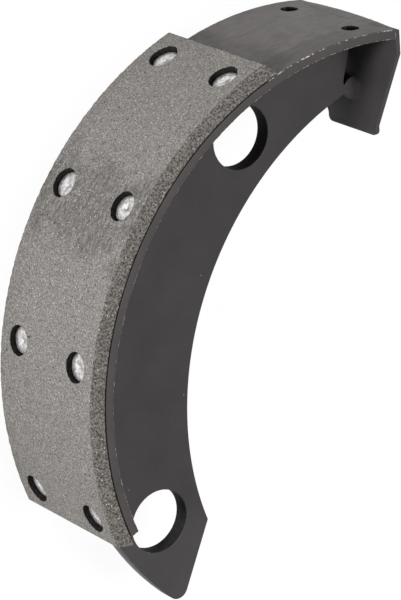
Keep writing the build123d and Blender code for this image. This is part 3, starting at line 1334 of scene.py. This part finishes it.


# %% [markdown]
# Dressing the pieces
#
# Each piece now gets its finishes, in the order of the material numbers that its faces
# have: the main surface first, then its worn bevels, then what is special to it. They
# could be given while each piece is modelled, but here it's plain which pieces share one.
# Each piece is also hung on the shoe's one body, and the loaded piece that it stands for is
# hidden. The welds were painted with the web, and the one over the rim's end with the rim.

# %% Finishes given


def dress(piece, node, materials):
    """Gives a piece its materials, hangs it on the shoe's body and hides the loaded piece that
    it stands for.
    """
    while len(piece.data.materials) < len(materials):
        piece.data.materials.append(None)
    for index, material in enumerate(materials):
        piece.data.materials[index] = material
    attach(piece, "root")
    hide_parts(node)


steel_paint = painted("web_paint", WEB_PAINT, 0.4)
weld_paint = painted("weld_paint", WELD_PAINT, 0.5, 0.12 * MM)
rim_grey = rim_paint()
web_edge = worn_edge("web_edge", WEB_PAINT, 0.1)
# Painted shade: near-black colours for the counterbores, the seam above the rim, the rim's holes
# and its faces under the lining.
counterbore = painted_shade_finish("counterbore", (0.008, 0.007, 0.007), (0.03, 0.028, 0.026))
bore = painted_shade_finish("bore", (0.008, 0.007, 0.007), (0.025, 0.023, 0.022))
rim_cut = painted("rim_cut", RIM_PAINT, 0.55, 0.2 * MM)
dress(lining, "lining", [ground_friction(), moulded_friction(), counterbore])
rim_edge = worn_edge("rim_edge", RIM_PAINT, 0.5)
dress(rim, "rim", [rim_grey, rim_edge, bore, rim_cut])
# Painted shade for the walls of the web's holes.
web_hole_shade = painted_shade_finish("web_hole_shade", (0.014, 0.013, 0.013), (0.034, 0.032, 0.033))
dress(web, "web", [steel_paint, web_edge, web_hole_shade])
dress(end_plate, "end_plate", [steel_paint, web_edge])
dress(end_weld, "end_weld", [rim_grey])
plating = plated_steel()
for rivet in rivets:
    dress(rivet, "lining_rivets", [plating])
for side, name in ((1, "upper"), (-1, "lower")):
    dress(stitches[side], f"rim_welds_{name}", [weld_paint])
    dress(foot_beads[side], f"foot_weld_{name}", [weld_paint])
print("the rim's finishes:", ", ".join(material.name for material in rim.data.materials))

# %% [markdown]
# The floor
#
# The floor is white as the camera sees it, and so it is in metal that mirrors it. To the
# rest of the shoe it is an ordinary pale floor. More light would whiten it too, but it
# would wash out the shoe. So the floor gives the camera its own light, by a mask of which
# ray is looking. A little of its ordinary shade is kept, for the shoe's soft shadow.

# %% Floor
FLOOR_SIZE = 6
FLOOR_GREY = 0.6
FLOOR_GLOW = 1.06
SHADE_KEPT = 0.12


def seen_or_mirrored(tree):
    """One for rays from the camera or a shiny surface, and nothing for the others."""
    path = tree.nodes.new("ShaderNodeLightPath")
    total = path.outputs["Is Camera Ray"]
    for name in ("Is Glossy Ray", "Is Transmission Ray"):
        add = tree.nodes.new("ShaderNodeMath")
        add.operation = "MAXIMUM"
        tree.links.new(total, add.inputs[0])
        tree.links.new(path.outputs[name], add.inputs[1])
        total = add.outputs["Value"]
    return total


def studio_floor():
    """A wide pale floor that the shoe lies on."""
    bpy.ops.object.select_all(action="DESELECT")
    bpy.ops.mesh.primitive_plane_add(size=FLOOR_SIZE, location=(0, 0, -HALF_WIDTH))
    floor = bpy.context.object
    floor.name = "floor"
    material = bpy.data.materials.new("floor")
    material.use_nodes = True
    tree = material.node_tree
    pale = tree.nodes["Principled BSDF"]
    pale.inputs["Base Color"].default_value = (FLOOR_GREY, FLOOR_GREY, FLOOR_GREY, 1)
    pale.inputs["Roughness"].default_value = 0.9
    glow = tree.nodes.new("ShaderNodeEmission")
    glow.inputs["Strength"].default_value = FLOOR_GLOW
    share = tree.nodes.new("ShaderNodeMath")
    share.operation = "MULTIPLY"
    tree.links.new(seen_or_mirrored(tree), share.inputs[0])
    share.inputs[1].default_value = 1 - SHADE_KEPT
    mix = tree.nodes.new("ShaderNodeMixShader")
    tree.links.new(share.outputs["Value"], mix.inputs["Fac"])
    tree.links.new(pale.outputs[0], mix.inputs[1])
    tree.links.new(glow.outputs[0], mix.inputs[2])
    tree.links.new(mix.outputs[0], tree.nodes["Material Output"].inputs["Surface"])
    floor.data.materials.append(material)
    return floor


print("floor at", round(studio_floor().location.z / MM, 1), "mm")

# %% [markdown]
# The world
#
# Past the floor's edge is the world. A backdrop could stand there, but it would need
# light of its own. So the world is white where it is seen or mirrored, by the same mask as
# the floor's, and gives everything else only a weak even light, and the lamps still
# shape the shoe.

# %% World
WORLD_LIGHT = 0.1


def studio_world(strength):
    """White where it is seen or mirrored, and a weak plain light for the rest."""
    world = bpy.data.worlds.new("studio")
    world.use_nodes = True
    tree = world.node_tree
    background = tree.nodes["Background"]
    background.inputs["Color"].default_value = (1, 1, 1, 1)
    level = tree.nodes.new("ShaderNodeMapRange")
    tree.links.new(seen_or_mirrored(tree), level.inputs["Value"])
    level.inputs["To Min"].default_value = strength
    tree.links.new(level.outputs["Result"], background.inputs["Strength"])
    bpy.context.scene.world = world


studio_world(WORLD_LIGHT)

# %% [markdown]
# The lamps
#
# Three softboxes light the shoe: a small one low at the side of the lining, which brings
# out its grain and the rivets' hollows, a large one above, and a weak large one behind
# that opens the shade. A lamp's power says little about how bright a surface gets, so
# each is given by the light that falls on a surface that faces it.

# %% Lamps
LAMPS_AIM = Vector((-0.1, 0, 0))
LAMPS_AWAY = 2.0


def add_softbox(name, towards, light, size):
    """A square lamp in a direction, whose light on a surface that faces it is given."""
    bpy.ops.object.light_add(type="AREA")
    lamp = bpy.context.object
    lamp.name = name
    towards = Vector(towards).normalized()
    lamp.location = LAMPS_AIM + towards * LAMPS_AWAY
    lamp.rotation_euler = towards.to_track_quat("Z", "Y").to_euler()
    lamp.data.size = size
    lamp.data.energy = light * (pi * LAMPS_AWAY) ** 2
    print(name, "softbox:", round(lamp.data.energy, 1), "W")


add_softbox("side", (-0.84, -0.46, 0.27), light=0.8, size=0.3)
add_softbox("front", (0.12, 0.08, 0.98), light=0.85, size=0.9)
add_softbox("back", (-0.6, 0.75, 0.28), light=0.25, size=0.9)
bpy.context.scene.view_settings.view_transform = "Standard"
